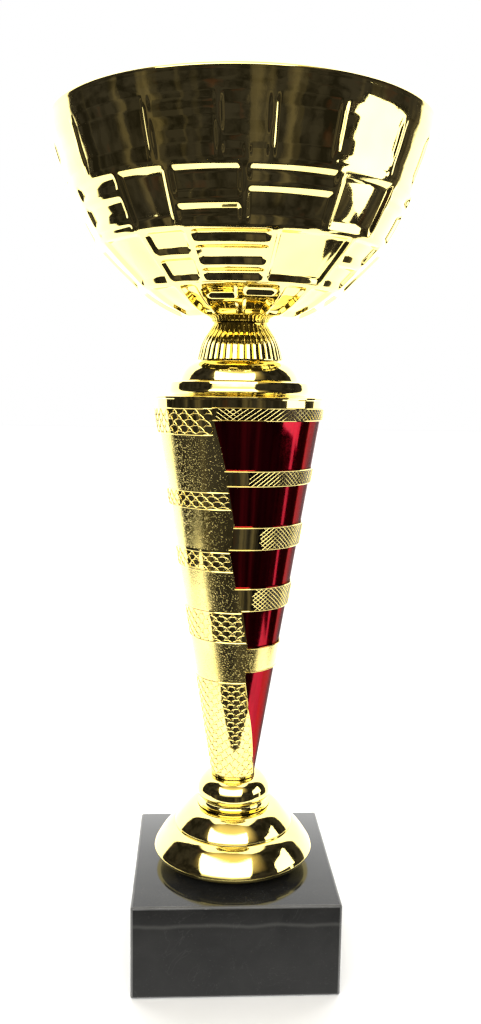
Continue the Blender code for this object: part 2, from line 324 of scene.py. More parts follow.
def red_lacquer():
    """Clear red lacquer over a metallised cone, with faint upright draw lines."""
    material, tree, shader = new_material("red_lacquer", 1.0)
    upright = place_of(tree, (1.0, 1.0, 0.03))
    shader.inputs["Specular Tint"].default_value = (0.15, 0.03, 0.04, 1.0)
    shader.inputs["Coat Weight"].default_value = 0.12
    shader.inputs["Coat Roughness"].default_value = 0.04
    shader.inputs["Coat IOR"].default_value = 1.5
    streaks = span(tree, noise(tree, upright, 420.0, 3.0), 0.3, 0.7)
    colour = blend_colours(tree, streaks, (0.30, 0.006, 0.016), (0.21, 0.004, 0.011))
    haze = span(tree, noise(tree, place_of(tree), 600.0, 4.0), 0.35, 0.7, 0.07, 0.14)
    lines = raise_surface(tree, noise(tree, upright, 300.0, 2.0), 0.00012, 0.25)
    connect(tree, shader, colour, haze, lines)
    return material


def dark_marble(name, lift, smooth, rough, shine):
    """Near-black stone: cloudy greys, fine grain, hair-thin paler threads and one faint level band.

    lift scales its colour: above 1 paler, under 1 darker. The script uses it to paint shade on the sides
    and a highlight on the eased edges. smooth and rough are the ends of its roughness.
    """
    material, tree, shader = new_material(name)
    place = place_of(tree)
    clouds = span(tree, noise(tree, place, 55.0, 5.0, 0.6, 0.6), 0.35, 0.7)
    base, pale, speck = (
        tuple(c * lift for c in colour)
        for colour in ((0.013, 0.013, 0.0125), (0.022, 0.022, 0.021), (0.045, 0.045, 0.042))
    )
    body = blend_colours(tree, clouds, base, pale)
    grain = span(tree, noise(tree, place, 1500.0, 2.0), 0.64, 0.80)
    speckled = blend_colours(tree, grain, body, speck)
    thread = noise(tree, place, 38.0, 4.0, 0.6, 1.5)
    near_half = calculate(tree, "ABSOLUTE", calculate(tree, "SUBTRACT", thread, 0.5))
    vein = span(tree, near_half, 0.0, 0.005, 0.22, 0.0)
    veined = blend_colours(tree, vein, speckled, (0.06, 0.06, 0.057))
    parts = tree.nodes.new("ShaderNodeSeparateXYZ")
    tree.links.new(place, parts.inputs[0])
    level_noise = noise(tree, place_of(tree, (1.0, 1.0, 0.0)), 48.0, 2.0)
    wander = span(tree, level_noise, 0.0, 1.0, -0.0018, 0.0018)
    level = calculate(tree, "ADD", parts.outputs[2], wander)
    off_band = calculate(tree, "ABSOLUTE", calculate(tree, "SUBTRACT", level, BAND_HEIGHT))
    band = span(tree, off_band, 0.0, 0.0012, 0.20, 0.0, smooth=True)
    banded = blend_colours(tree, band, veined, (0.13, 0.13, 0.12))
    smears = span(tree, noise(tree, place, 130.0, 4.0, 0.65), 0.3, 0.7, smooth, rough)
    pits = raise_surface(tree, noise(tree, place, 900.0, 3.0), 0.00002, 0.3)
    connect(tree, shader, banded, smears, pits)
    shader.inputs["Specular IOR Level"].default_value = shine
    return material


def zinc_steel():
    """Bright zinc-plated steel, finely drawn along its length."""
    material, tree, shader = new_material("zinc_steel", 1.0)
    place = place_of(tree)
    tone = span(tree, noise(tree, place, 160.0, 3.0), 0.3, 0.7)
    colour = blend_colours(tree, tone, (0.66, 0.66, 0.63), (0.50, 0.51, 0.51))
    drawn = noise(tree, place_of(tree, (1.0, 1.0, 0.08)), 1800.0, 3.0)
    haze = span(tree, drawn, 0.3, 0.7, 0.24, 0.42)
    connect(tree, shader, colour, haze, raise_surface(tree, drawn, 0.00002, 0.5))
    return material


GOLD = mirror_gold("gold_plating")
SAND = sand_gold()
LINES = mirror_gold("gold_lines", 0.16, 0.26)
# The knurl's cells: gold painted near-black, a painted shade for the shadow in the cuts.
KNURL_SHADE = knurl_painted_shade_gold()
RED = red_lacquer()
# Top, sides and eased edges are copies of one stone at different brightness: the sides painted darker as
# painted shade, the edges painted paler as a painted highlight.
MARBLE_TOP = dark_marble("dark_marble_top", 1.0, 0.05, 0.10, 0.40)
MARBLE_SIDES_SHADED = dark_marble("dark_marble", 0.68, 0.28, 0.40, 0.14)
MARBLE_EDGE_HIGHLIGHT = dark_marble("dark_marble_edge_painted_highlight", 4.0, 0.30, 0.42, 0.5)
STEEL = zinc_steel()

# ---- base and fasteners ----


def make_marble_base():
    """The stone block: eased edges in their own paler material, a painted highlight; sides and bottom in a
    darker copy of the stone than the top, a painted shade; a bore, and a counterbore from below.
    """
    low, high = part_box("marble_base")
    size = high - low
    ease = 0.0009
    bm = bmesh.new()
    bmesh.ops.create_cube(bm, size=1.0)
    bmesh.ops.scale(bm, vec=size, verts=bm.verts)
    bmesh.ops.translate(bm, vec=(low + high) / 2, verts=bm.verts)
    made = bmesh.ops.bevel(bm, geom=bm.edges[:], offset=ease, segments=4, profile=0.5, affect="EDGES")
    for face in made["faces"]:
        face.material_index = 1
    for face in bm.faces:
        if face.normal.z > 0.99:
            face.material_index = 2
    mesh = bpy.data.meshes.new("marble_base_block")
    bm.to_mesh(mesh)
    bm.free()
    for material in (MARBLE_SIDES_SHADED, MARBLE_EDGE_HIGHLIGHT, MARBLE_TOP):
        mesh.materials.append(material)
    bore = BORE + 0.3
    hole = [(bore, 40.0), (bore, 10.5), (13.5, 10.5), (13.5, 0.6), (14.0, 0.0), (14.0, -4.0)]
    shape = Shape()
    shape.add_capped(hole, even_angles(96))
    cutter = bpy.data.objects.new("hole", shape.to_mesh("hole", [MARBLE_SIDES_SHADED]))
    block = bpy.data.objects.new("block", mesh)
    for thing in (cutter, block):
        bpy.context.scene.collection.objects.link(thing)
    cut = block.modifiers.new("Cut", "BOOLEAN")
    cut.operation = "DIFFERENCE"
    cut.solver = "EXACT"
    cut.object = cutter
    bpy.context.view_layer.update()
    graph = bpy.context.evaluated_depsgraph_get()
    final = bpy.data.meshes.new_from_object(block.evaluated_get(graph))
    final.name = "marble_base_stone"
    bpy.data.objects.remove(cutter)
    bpy.data.objects.remove(block)
    final.shade_smooth()
    final.set_sharp_from_angle(angle=math.radians(20))
    place("marble_block", final, "marble_base", "marble")


WASHER_STEPS = 96
NUT_TURN_STEP = 3.75
ACROSS_FLATS = 10.0
THREAD_RADIUS = 3.05
THREAD_MOUTH = 3.6


def make_washer(name, node, outer):
    low, high = heights_of(node)
    corners = [(outer, high, 0.25), (outer, low, 0.25), (BORE, low, 0.15), (BORE, high, 0.15)]
    outline = ease_corners(corners, steps=3)
    place_turned(name, node, "zinc_steel", outline, STEEL, WASHER_STEPS)


def hexagon_radius(angle):
    """Distance from the axis to the side of the hexagon nut in this direction."""
    turn = np.radians((angle + 30.0) % 60.0 - 30.0)
    return ACROSS_FLATS / 2 / np.cos(turn)


def nut_points(shape, rows):
    """Rings of a hexagon whose corners are cut back to a round limit: rows of (height, limit)."""
    angle = np.arange(0.0, 360.0, NUT_TURN_STEP)
    side = hexagon_radius(angle)
    radius = np.array([np.minimum(side, limit) for _, limit in rows])
    height = np.array([[z] for z, _ in rows])
    return shape.add_polar(radius, angle[None, :], height)


def chamfered_rows(low, high):
    """Rows from the bottom to the top of a hexagon with 30 degree chamfers."""
    corner = ACROSS_FLATS / math.sqrt(3)
    reach = corner - ACROSS_FLATS / 2 * 0.97
    shares = np.linspace(0.0, 1.0, 7)
    slope = math.tan(math.radians(30))
    rows = [(low + reach * s * slope, corner - reach * (1 - s)) for s in shares]
    rows += [(high - reach * s * slope, corner - reach * (1 - s)) for s in shares[::-1]]
    return rows


def make_base_nut():
    low, high = heights_of("base_nut")
    shape = Shape()
    outer = nut_points(shape, chamfered_rows(low, high))
    angle = np.arange(0.0, 360.0, NUT_TURN_STEP)[None, :]
    bore = np.array([[THREAD_MOUTH], [THREAD_RADIUS], [THREAD_RADIUS], [THREAD_MOUTH]])
    inner = shape.add_polar(bore, angle, np.array([[high], [high - 0.5], [low + 0.5], [low]]))
    shape.add_grid(np.concatenate([outer, inner]), wrap_rows=True)
    place("hexagon_nut", shape.to_mesh("hexagon_nut", [STEEL], math.radians(20)), "base_nut", "zinc_steel")


def make_bowl_nut():
    """A dome nut: a chamfered hexagon with a polished crown, blind inside."""
    low, high = heights_of("bowl_nut")
    middle = low + 4.9
    crown = 4.55
    shape = Shape()
    outer = nut_points(shape, chamfered_rows(low, middle))
    angle = np.arange(0.0, 360.0, NUT_TURN_STEP)[None, :]
    base = high - crown
    turn = np.linspace(0.0, math.radians(84), 12)
    radius = np.concatenate([[crown], crown * np.cos(turn)])[:, None]
    height = np.concatenate([[middle], base + crown * np.sin(turn)])[:, None]
    dome = shape.add_polar(radius, angle, height)
    bore = np.array([[THREAD_RADIUS], [THREAD_RADIUS], [THREAD_MOUTH]])
    inner = shape.add_polar(bore, angle, np.array([[base + 1.2], [low + 0.5], [low]]))
    shape.add_grid(np.concatenate([outer, dome]))
    shape.add_grid(np.concatenate([inner, outer[:1]]))
    tip = shape.add_points([(0.0, 0.0, high)])[0]
    floor = shape.add_points([(0.0, 0.0, base + 2.0)])[0]
    count = dome.shape[1]
    for i in range(count):
        shape.add_face((dome[-1][i], dome[-1][(i + 1) % count], tip))
        shape.add_face((inner[0][(i + 1) % count], inner[0][i], floor))
    place("dome_nut", shape.to_mesh("dome_nut", [STEEL], math.radians(20)), "bowl_nut", "zinc_steel")


def make_tie_rod():
    """A stud with rolled thread at both ends and a plain shank between."""
    low, high = heights_of("tie_rod")
    crest, root, pitch = 2.9, 2.55, 1.0
    thread_length = 14.0
    outline = [(root - 0.3, low)]
    start = low + 0.4
    while start < low + thread_length:
        outline += [(crest, start + 0.3), (crest, start + 0.45), (root, start + 0.8)]
        start += pitch
    start = high - thread_length
    outline.append((2.75, start - 0.5))
    while start < high - pitch:
        outline += [(root, start), (crest, start + 0.3), (crest, start + 0.45), (root, start + 0.75)]
        start += pitch
    outline.append((root - 0.3, high))
    shape = Shape()
    shape.add_capped(outline, even_angles(40))
    place("threaded_stud", shape.to_mesh("threaded_stud", [STEEL]), "tie_rod", "zinc_steel")


# ---- foot, ring and cap ----


def make_foot():
    low, high = heights_of("foot")
    upper = curve_through([
        (12.6, high), (15.2, high - 0.12), (16.8, high - 0.6), (18.3, 55.35), (19.9, 53.7),
        (21.3, 51.95), (22.2, 50.65), (22.55, 49.95), (22.3, 49.5),
    ])
    lower = curve_through([
        (22.4, 49.25), (23.5, 48.9), (25.4, 47.6), (27.2, 45.6), (28.7, 43.6), (29.8, 41.9),
        (30.35, 40.7), (30.42, 40.1), (29.9, 39.0), (28.0, 37.7), (24.6, 36.0), (21.4, low),
    ])
    inside = [
        (20.4, low), (25.4, 37.7), (28.3, 39.6), (28.8, 40.8), (26.8, 43.8), (23.4, 47.2),
        (21.0, 48.9), (20.4, 50.5), (18.8, 52.3), (16.2, 54.6), (14.4, high - 1.6), (BORE, high - 1.6),
    ]
    outline = [(BORE, high)] + upper + lower + inside
    place_turned("foot_two_tier", "foot", "gold_plating", outline, GOLD)


def make_neck_ring():
    low, high = heights_of("neck_ring")
    rounded = curve_through([
        (9.0, high), (10.6, high - 0.35), (12.2, high - 1.65), (13.5, high - 3.7),
        (14.0, high - 5.9), (13.7, high - 7.5), (12.9, high - 8.5), (12.2, high - 8.85),
    ])
    cove = curve_through([(12.0, high - 9.2), (12.05, high - 9.9), (12.7, high - 10.7), (13.9, low + 0.1)])
    outline = [(BORE, high)] + rounded + cove + [(13.9, low), (BORE, low)]
    place_turned("neck_ring_turned", "neck_ring", "gold_plating", outline, GOLD)


def make_column_cap():
    low, high = heights_of("column_cap")
    top_of_column = low + 3.0
    rim = 28.0
    crown = curve_through([
        (15.9, high), (17.6, high - 0.3), (19.4, high - 1.6), (20.7, high - 3.2),
        (21.6, high - 4.9), (22.15, high - 6.4), (22.35, high - 7.05),
    ])
    cove = curve_through([
        (26.1, high - 8.3), (26.3, high - 9.4), (26.5, high - 10.5), (26.9, high - 11.3),
        (27.7, high - 12.0), (29.0, high - 12.45), (30.6, high - 12.65),
    ])
    outline = (
        [(BORE, high)]
        + crown
        + [(22.6, high - 7.2), (25.3, high - 7.4), (25.85, high - 7.7)]
        + cove
        + [(31.5, high - 12.75), (31.75, high - 12.95), (31.8, high - 13.2), (31.7, top_of_column)]
        + [(rim, top_of_column), (rim, low), (rim - 1.6, low), (rim - 1.6, top_of_column)]
        + [(24.4, high - 9.4), (20.6, high - 8.8), (19.2, high - 4.9), (15.0, high - 1.6)]
        + [(BORE, high - 1.6)]
    )
    place_turned("column_cap_stepped", "column_cap", "gold_plating", outline, GOLD)


FLUTES = 36
FLUTE_ACROSS = (-1.0, -0.92, -0.82, -0.6, -0.3, 0.0, 0.3, 0.6, 0.82, 0.92)
LOBE_DEPTH = 0.34
VALLEY_DEPTH = 0.42


def make_fluted_riser():
    """A bell of convex flutes that meet in sharp valleys and close into a plain collar above."""
    low, high = heights_of("fluted_riser")
    skirt = 0.3
    outside = curve_through([
        (9.9, high), (10.3, high - 0.9), (11.4, high - 2.7), (13.0, high - 4.8),
        (13.95, high - 6.6), (14.75, high - 8.7), (15.35, high - 11.1), (15.85, low + skirt),
    ], steps=5)
    shape = Shape()
    across = np.tile(np.array(FLUTE_ACROSS), FLUTES)
    start = np.repeat(np.arange(FLUTES), len(FLUTE_ACROSS))
    angle = ((start + across / 2) * 360.0 / FLUTES)[None, :]
    valley = np.clip((np.abs(across) - 0.78) / 0.22, 0.0, 1.0) ** 1.5
    dip = LOBE_DEPTH * across**2 + VALLEY_DEPTH * valley
    radius, height = (column[:, None] for column in np.array(outside).T)
    share = np.clip((high - 0.3 - height) / 2.2, 0.0, 1.0)
    fade = share * share * (3.0 - 2.0 * share) * radius / 15.8
    index = shape.add_polar(radius - fade * dip[None, :], angle, height + 0.0 * angle)
    closing = [
        (15.95, low + skirt - 0.02), (15.95, low + 0.05), (15.85, low), (14.2, low),
        (14.0, high - 11.0), (13.1, high - 8.0), (11.6, high - 4.6), (9.8, high - 1.6),
        (BORE, high - 1.6), (BORE, high), (10.0, high),
    ]
    rest = np.array(closing)
    others = shape.add_polar(rest[:, :1], angle, rest[:, 1:])
    shape.add_grid(np.concatenate([index, others]), wrap_rows=True)
    mesh = shape.to_mesh("fluted_riser_bell", [GOLD], math.radians(55))
    place("fluted_riser_bell", mesh, "fluted_riser", "gold_plating")


# ---- column ----

CONE_BOTTOM = 68.8
CONE_TOP = 211.7
COLUMN_HEIGHTS = (CONE_BOTTOM, 206.0, 212.0)
COLUMN_RADII = (8.77, 31.03, 31.4)
CORE_INSET = 0.95
CORE_WALL = 1.8
SLEEVE_INSET = 0.22
SLEEVE_WALL = 0.6


def column_radius(height):
    """The CAD surface of the column, in mm."""
    return np.interp(height, COLUMN_HEIGHTS, COLUMN_RADII)


def make_column_core():
    floor = CONE_BOTTOM + CORE_WALL
    outside = [(column_radius(z) - CORE_INSET, z) for z in np.linspace(CONE_TOP, CONE_BOTTOM, 24)]
    inside = [(column_radius(z) - CORE_INSET - CORE_WALL, z) for z in np.linspace(floor, CONE_TOP, 12)]
    outline = outside + [(BORE, CONE_BOTTOM), (BORE, floor)] + inside
    place_turned("red_cone", "column_core", "red_lacquer", outline, RED)


# The spine's front edge: height and angle. The back edge mirrors it about MIRROR_ANGLE.
FRONT_EDGE = (
    (209.2, -19.5), (204.5, -19.0), (187.5, -11.5), (181.8, -9.8), (167.5, -5.0), (159.0, -9.0),
    (145.0, -3.5), (136.2, 4.0), (122.0, 12.0), (112.5, 11.5), (108.5, 12.0), (98.7, 18.9),
    (88.0, 30.5), (78.0, 41.0), (72.0, 50.0), (CONE_BOTTOM, 55.0),
)
MIRROR_ANGLE = -100.0
SLEEVE_ROW = 2.5
SPINE_COLUMNS = 72
FINGER_COLUMNS = 140
# Half the width of a knurl's diamonds in the top band and in the others, and half their height. Then the
# width and the rise of the lines round them.
KNURL_WIDE = 1.15
KNURL_NARROW = 1.0
KNURL_RISE = 0.78
KNURL_LINE = 0.27
KNURL_LINE_RISE = 0.1
# Lips run along the edges of the bands. The knurl stops LIP short of an edge.
LIP = 0.35
LIP_WIDTH = 0.42
LIP_RISE = 0.2
SCALE_LIP_WIDTH = 0.5

# Bands of the sleeve from the top: top, bottom, whether the fingers go round, where the knurl starts.
BANDS = (
    (CONE_TOP, 209.2, True, None),
    (209.2, 204.5, True, -18.0),
    (204.5, 187.5, False, None),
    (187.5, 181.8, True, 4.0),
    (181.8, 167.5, False, None),
    (167.5, 159.0, True, 15.0),
    (159.0, 145.0, False, None),
    (145.0, 136.2, True, 12.0),
    (136.2, 122.0, False, None),
    (122.0, 112.5, True, None),
    (112.5, CONE_BOTTOM, False, None),
)
# Scale-line bands on the spine: top, bottom, and the angle of the end at the top and the bottom.
SCALE_BANDS = (
    (208.6, 199.6, -20.0, -20.0),
    (179.6, 173.6, -10.0, -8.0),
    (158.0, 151.0, -9.5, -6.5),
    (135.6, 124.2, 2.5, 9.5),
    (108.4, 70.5, 11.5, 52.0),
)
SCALE_RADIUS = 3.4
SCALE_SPACING = 4.2
SCALE_ROW = 1.8
TOP_SCALE_SIZE = 1.15
SCALE_LINE = 0.30
SCALE_RISE = 0.15
# A band whose top is above the first height is the top one. A scale band whose bottom is under the second
# runs down to the ring, and its end follows the spine.
TOP_BAND_BOTTOM = 205.0
LOW_BAND_TOP = 71.0

# Material slots of the sleeve.
PLAIN, GRAINED, LINE, SHADED_KNURL_SLOT = range(4)


def front_angle(height):
    heights, angles = zip(*FRONT_EDGE[::-1])
    return np.interp(height, heights, angles)


def sleeve_rows():
    """Heights of the grid's level lines with the band each belongs to, from the top down."""
    rows = []
    for band, (top, bottom, _, _) in enumerate(BANDS):
        count = max(1, round((top - bottom) / SLEEVE_ROW))
        rows += [(z, band) for z in np.linspace(top, bottom, count + 1)[:-1]]
    rows.append((CONE_BOTTOM, len(BANDS) - 1))
    return rows


def in_scale_band(height):
    return any(bottom < height < top for top, bottom, _, _ in SCALE_BANDS)


def add_ridge(shape, angles, heights, width, rise, slot):
    """A slim rounded line on the cone along a path of (angle, height) points, closed at both ends."""
    angles, heights = np.asarray(angles, float), np.asarray(heights, float)
    radius = column_radius(heights) - SLEEVE_INSET
    across = np.gradient(np.radians(angles)) * radius
    up = np.gradient(heights)
    length = np.hypot(across, up)
    side_angle = np.degrees(-up / length * width / 2 / radius)
    side_height = across / length * width / 2
    section = ((-1.0, -0.12), (-0.62, 0.6 * rise), (0.0, rise), (0.62, 0.6 * rise), (1.0, -0.12))
    lines = [
        shape.add_polar(radius + lift, angles + side * side_angle, heights + side * side_height)
        for side, lift in section
    ]
    index = np.stack(lines, 1)
    shape.add_grid(index, slot)
    shape.add_face(index[0], slot)
    shape.add_face(index[-1][::-1], slot)


def scale_edge(height, band):
    """Angle of the front end of a scale band at this height."""
    top, bottom, end_top, end_bottom = band
    if bottom < LOW_BAND_TOP:
        return front_angle(height) - 1.2
    return np.interp(height, [bottom, top], [end_bottom, end_top])


def add_scale_arcs(shape, band):
    """Rows of arches that cross their neighbours, cut off at the band's edges."""
    top, bottom = band[:2]
    size = TOP_SCALE_SIZE if top > TOP_BAND_BOTTOM else 1.0
    arch = SCALE_RADIUS * size
    turn = np.radians(np.linspace(10.0, 170.0, 17))
    rows = int((top - bottom) / (SCALE_ROW * size)) + 3
    for row in range(rows):
        centre_height = top + 0.5 - arch - (row - 1) * SCALE_ROW * size
        radius = float(column_radius(min(max(centre_height, bottom), top)))
        step = math.degrees(SCALE_SPACING * size / radius)
        front = float(scale_edge(min(max(centre_height, bottom), top), band))
        back = 2 * MIRROR_ANGLE - front
        count = int((front - back) / step) + 3
        anchor = step * math.floor(front / step)
        for k in range(count):
            centre = anchor - (k - 1.5 + 0.5 * (row % 2)) * step
            heights = centre_height + arch * np.sin(turn)
            angles = centre + np.degrees(arch * np.cos(turn) / radius)
            ends = scale_edge(heights, band)
            keep = (heights < top) & (heights > bottom) & (angles < ends)
            keep &= angles > 2 * MIRROR_ANGLE - ends
            for run in np.split(np.arange(len(turn)), np.where(np.diff(keep))[0] + 1):
                if keep[run[0]] and len(run) > 2:
                    add_ridge(shape, angles[run], heights[run], SCALE_LINE, SCALE_RISE, LINE)


def add_knurl(shape, top, bottom, start):
    """Two sets of slanted lines that cross in diamonds, from the start angle round to its mirror image."""
    radius = float(column_radius((top + bottom) / 2))
    half_width = KNURL_WIDE if top > TOP_BAND_BOTTOM else KNURL_NARROW
    lean = math.degrees((top - bottom) / KNURL_RISE * half_width / radius)
    step = math.degrees(2 * half_width / radius)
    end = 2 * MIRROR_ANGLE + 360 - start
    heights = np.linspace(bottom, top, 7)
    for k in range(int((end - start + lean) / step) + 1):
        foot = start - lean + k * step
        for angles in (np.linspace(foot, foot + lean, 7), np.linspace(foot + lean, foot, 7)):
            keep = (angles > start) & (angles < end)
            if keep.sum() > 2:
                add_ridge(shape, angles[keep], heights[keep], KNURL_LINE, KNURL_LINE_RISE, LINE)


def add_level_ridge(shape, height, first, last, width):
    count = max(3, int(abs(last - first) / 3.0))
    angles = np.linspace(first, last, count)
    add_ridge(shape, angles, np.full(count, height), width, LIP_RISE, PLAIN)


def surface_of(band, height, angle, on_finger):
    """The material slot at a place on the outside of the sleeve."""
    top, _, _, knurl = band
    if on_finger and knurl is not None:
        # Knurl cells take the material with the painted shade.
        return SHADED_KNURL_SLOT if knurl < angle < 2 * MIRROR_ANGLE + 360 - knurl else PLAIN
    if top == CONE_TOP or (not on_finger and in_scale_band(height)):
        return PLAIN
    return GRAINED


def make_column_sleeve():
    """The comb: a spine all the way down, fingers between the windows, knurling, scale lines and lips."""
    shape = Shape()
    rows = sleeve_rows()
    height = np.array([z for z, _ in rows])
    front = front_angle(height)
    back = 2 * MIRROR_ANGLE - front
    spine = back[:, None] + (front - back)[:, None] * np.arange(SPINE_COLUMNS) / SPINE_COLUMNS
    finger = front[:, None] + (back + 360 - front)[:, None] * np.arange(FINGER_COLUMNS) / FINGER_COLUMNS
    angle = np.concatenate([spine, finger], 1)
    count = SPINE_COLUMNS + FINGER_COLUMNS
    radius = column_radius(height) - SLEEVE_INSET
    outer = shape.add_polar(radius[:, None], angle, height[:, None])
    inner = shape.add_polar((radius - SLEEVE_WALL)[:, None], angle, height[:, None])
    present = np.ones((len(rows) - 1, count), bool)
    for i in range(len(rows) - 1):
        if not BANDS[rows[i][1]][2]:
            present[i, SPINE_COLUMNS:] = False
    for i in range(len(rows) - 1):
        middle = (height[i] + height[i + 1]) / 2
        for j in range(count):
            if not present[i, j]:
                continue
            k = (j + 1) % count
            corners = (outer[i, j], outer[i, k], outer[i + 1, k], outer[i + 1, j])
            shape.add_face(corners, surface_of(BANDS[rows[i][1]], middle, angle[i, j], j >= SPINE_COLUMNS))
            shape.add_face((inner[i, j], inner[i + 1, j], inner[i + 1, k], inner[i, k]))
            if i == 0 or not present[i - 1, j]:
                shape.add_face((outer[i, j], inner[i, j], inner[i, k], outer[i, k]))
            if i == len(rows) - 2 or not present[i + 1, j]:
                shape.add_face((outer[i + 1, j], outer[i + 1, k], inner[i + 1, k], inner[i + 1, j]))
            if not present[i, j - 1]:
                shape.add_face((outer[i, j], outer[i + 1, j], inner[i + 1, j], inner[i, j]))
            if not present[i, k]:
                shape.add_face((outer[i, k], inner[i, k], inner[i + 1, k], outer[i + 1, k]))
    for top, bottom, round_finger, start in BANDS[1:]:
        if not round_finger:
            continue
        if start is not None:
            add_knurl(shape, top - LIP, bottom + LIP, start)
        for edge, inward in ((top, -1), (bottom, 1)):
            if top > TOP_BAND_BOTTOM and edge == top:
                first = -20.0
            else:
                first = float(front_angle(edge)) - 1.0
            last = 2 * MIRROR_ANGLE + 360 - first
            add_level_ridge(shape, edge + inward * 0.25, first, last, LIP_WIDTH)
    for band in SCALE_BANDS:
        top, bottom, end_top, end_bottom = band
        add_scale_arcs(shape, band)
        add_level_ridge(shape, top, 2 * MIRROR_ANGLE - end_top, end_top, SCALE_LIP_WIDTH)
        if bottom > LOW_BAND_TOP:
            add_level_ridge(shape, bottom, 2 * MIRROR_ANGLE - end_bottom, end_bottom, SCALE_LIP_WIDTH)
        heights = np.linspace(top, bottom, 24)
        ends = scale_edge(heights, band) + 0.4
        add_ridge(shape, ends, heights, SCALE_LIP_WIDTH, LIP_RISE, PLAIN)
        add_ridge(shape, 2 * MIRROR_ANGLE - ends, heights, SCALE_LIP_WIDTH, LIP_RISE, PLAIN)
    mesh = shape.to_mesh("gold_comb", [GOLD, SAND, LINES, KNURL_SHADE], math.radians(28))
    place("gold_comb", mesh, "column_sleeve", "gold_plating")


# ---- bowl ----

RIM_TOP = 307.5
# A panel lies POCKET_DEPTH under the ribs, whose crests are twice RIB_HALF wide. The three walls are as
# wide as given here, and PILLOW is how far the middle of a panel swells back.
POCKET_DEPTH = 1.05
RIB_HALF = 0.5
SIDE_WALL = 1.9
TOP_WALL = 2.1
BOTTOM_WALL = 2.5
PILLOW = 0.12
BOWL_WALL = 2.0
LEAST_GAP = 0.02
COLUMN_GAP = 2.6
LEVEL_GAP = 2.2

BOWL_OUTLINE = (
    (239.9, 15.5), (240.6, 19.0), (242.0, 23.0), (244.0, 27.3), (246.5, 31.6), (249.6, 35.8),
    (254.0, 40.4), (258.0, 44.6), (262.0, 48.6), (264.8, 51.3), (267.5, 53.2), (271.0, 55.2),
    (275.0, 57.3), (280.0, 59.8), (282.0, 60.7), (286.0, 62.2), (290.0, 63.7), (295.0, 65.4),
    (300.0, 66.9), (303.0, 67.7), (307.5, 68.4),
)

FINE_HEIGHTS = np.linspace(BOWL_OUTLINE[0][0], BOWL_OUTLINE[-1][0], 1200)
# Angles of the upright ribs that split a panel's lowest cell, by the panel's left edge.
SPLIT_PANELS = {-9.2: -1.6, 112.0: 121.0, 226.0: 237.0}
# The four rows of pressed panels, from the top: top, bottom, depth as a share of POCKET_DEPTH, panels.
# Each panel is its left edge, then the heights of its cross ribs. It reaches to the next one's left edge.
PANEL_ROWS = (
    (300.9, 282.1, 0.5, (
        (-82.0, 288.0), (-58.0,), (-29.0, 294.8), (-9.2, 287.8), (5.0,), (24.0, 285.0), (47.0,),
        (65.5, 294.8), (88.0,), (112.0, 287.8), (131.0,), (158.0, 285.0), (178.0,), (203.0, 294.8),
        (226.0, 287.8), (250.0,),
    )),
    (282.1, 264.9, 0.9, (
        (-70.5, 275.6, 267.6), (-44.2,), (-25.5, 271.7), (-2.2, 276.2), (27.8,), (52.0, 276.2),
        (72.0, 271.7), (95.0,), (118.0, 275.6, 267.6), (140.0,), (165.0, 276.2), (190.0,),
        (214.0, 271.7), (240.0,), (264.0, 276.2),
    )),
    (264.9, 249.9, 1.0, (
        (-71.0,), (-42.5, 257.3), (-22.3, 260.6, 254.3), (9.0,), (43.5, 257.3), (67.0,),
        (90.0, 260.6), (116.0,), (142.0, 257.3), (164.0,), (190.0, 260.6, 254.3), (216.0,),
        (240.0, 257.3), (264.0,),
    )),
    (249.9, 240.9, 1.0, (
        (-67.0,), (-40.0,), (-26.0, 244.9), (-3.0, 245.9), (20.0,), (38.0,), (62.0, 244.9), (88.0,),
        (114.0,), (140.0, 245.9), (164.0,), (190.0,), (214.0, 244.9), (240.0,), (266.0,),
    )),
)


def smooth_radius(height):
    """The bowl's outline as a monotone cubic through BOWL_OUTLINE."""
    z, r = np.array(BOWL_OUTLINE).T
    gap = np.diff(z)
    slope = np.diff(r) / gap
    tangent = np.empty(len(z))
    tangent[0], tangent[-1] = slope[0], slope[-1]
    tangent[1:-1] = 2 * slope[:-1] * slope[1:] / (slope[:-1] + slope[1:])
    height = np.clip(height, z[0], z[-1])
    i = np.clip(np.searchsorted(z, height) - 1, 0, len(gap) - 1)
    t = (height - z[i]) / gap[i]
    first = (1 + 2 * t) * (1 - t) ** 2 * r[i] + t * (1 - t) ** 2 * gap[i] * tangent[i]
    second = t * t * (3 - 2 * t) * r[i + 1] + t * t * (t - 1) * gap[i] * tangent[i + 1]
    return first + second


def path_lengths(heights):
    """Distance along the outline from the lowest height, in mm."""
    steps = np.hypot(np.diff(FINE_HEIGHTS), np.diff(smooth_radius(FINE_HEIGHTS)))
    return np.interp(heights, FINE_HEIGHTS, np.concatenate([[0.0], np.cumsum(steps)]))


def heights_at(lengths):
    return np.interp(lengths, path_lengths(FINE_HEIGHTS), FINE_HEIGHTS)


def wall_lines(centre, near_wall, far_wall):
    """Grid lines across a rib: on its crest's edges and down each of the two walls."""
    shares = np.array([0.0, 0.08, 0.18, 0.45, 0.72, 0.88, 1.02])
    low = centre - RIB_HALF - shares * near_wall
    high = centre + RIB_HALF + shares * far_wall
    return np.concatenate([low[::-1], high])


def filled(lines, gap):
    """Adds evenly spaced lines wherever two neighbours stand further apart than gap."""
    lines = np.unique(np.round(lines, 4))
    result = [lines[0]]
    for line in lines[1:]:
        missing = int((line - result[-1]) // gap)
        if missing:
            result.extend(np.linspace(result[-1], line, missing + 2)[1:-1])
        result.append(line)
    return np.array(result)


def thin_lines(lines, least):
    """Drops lines that stand closer than least to the one before."""
    kept = [lines[0]]
    for line in lines[1:]:
        if line - kept[-1] >= least:
            kept.append(line)
    return np.array(kept)


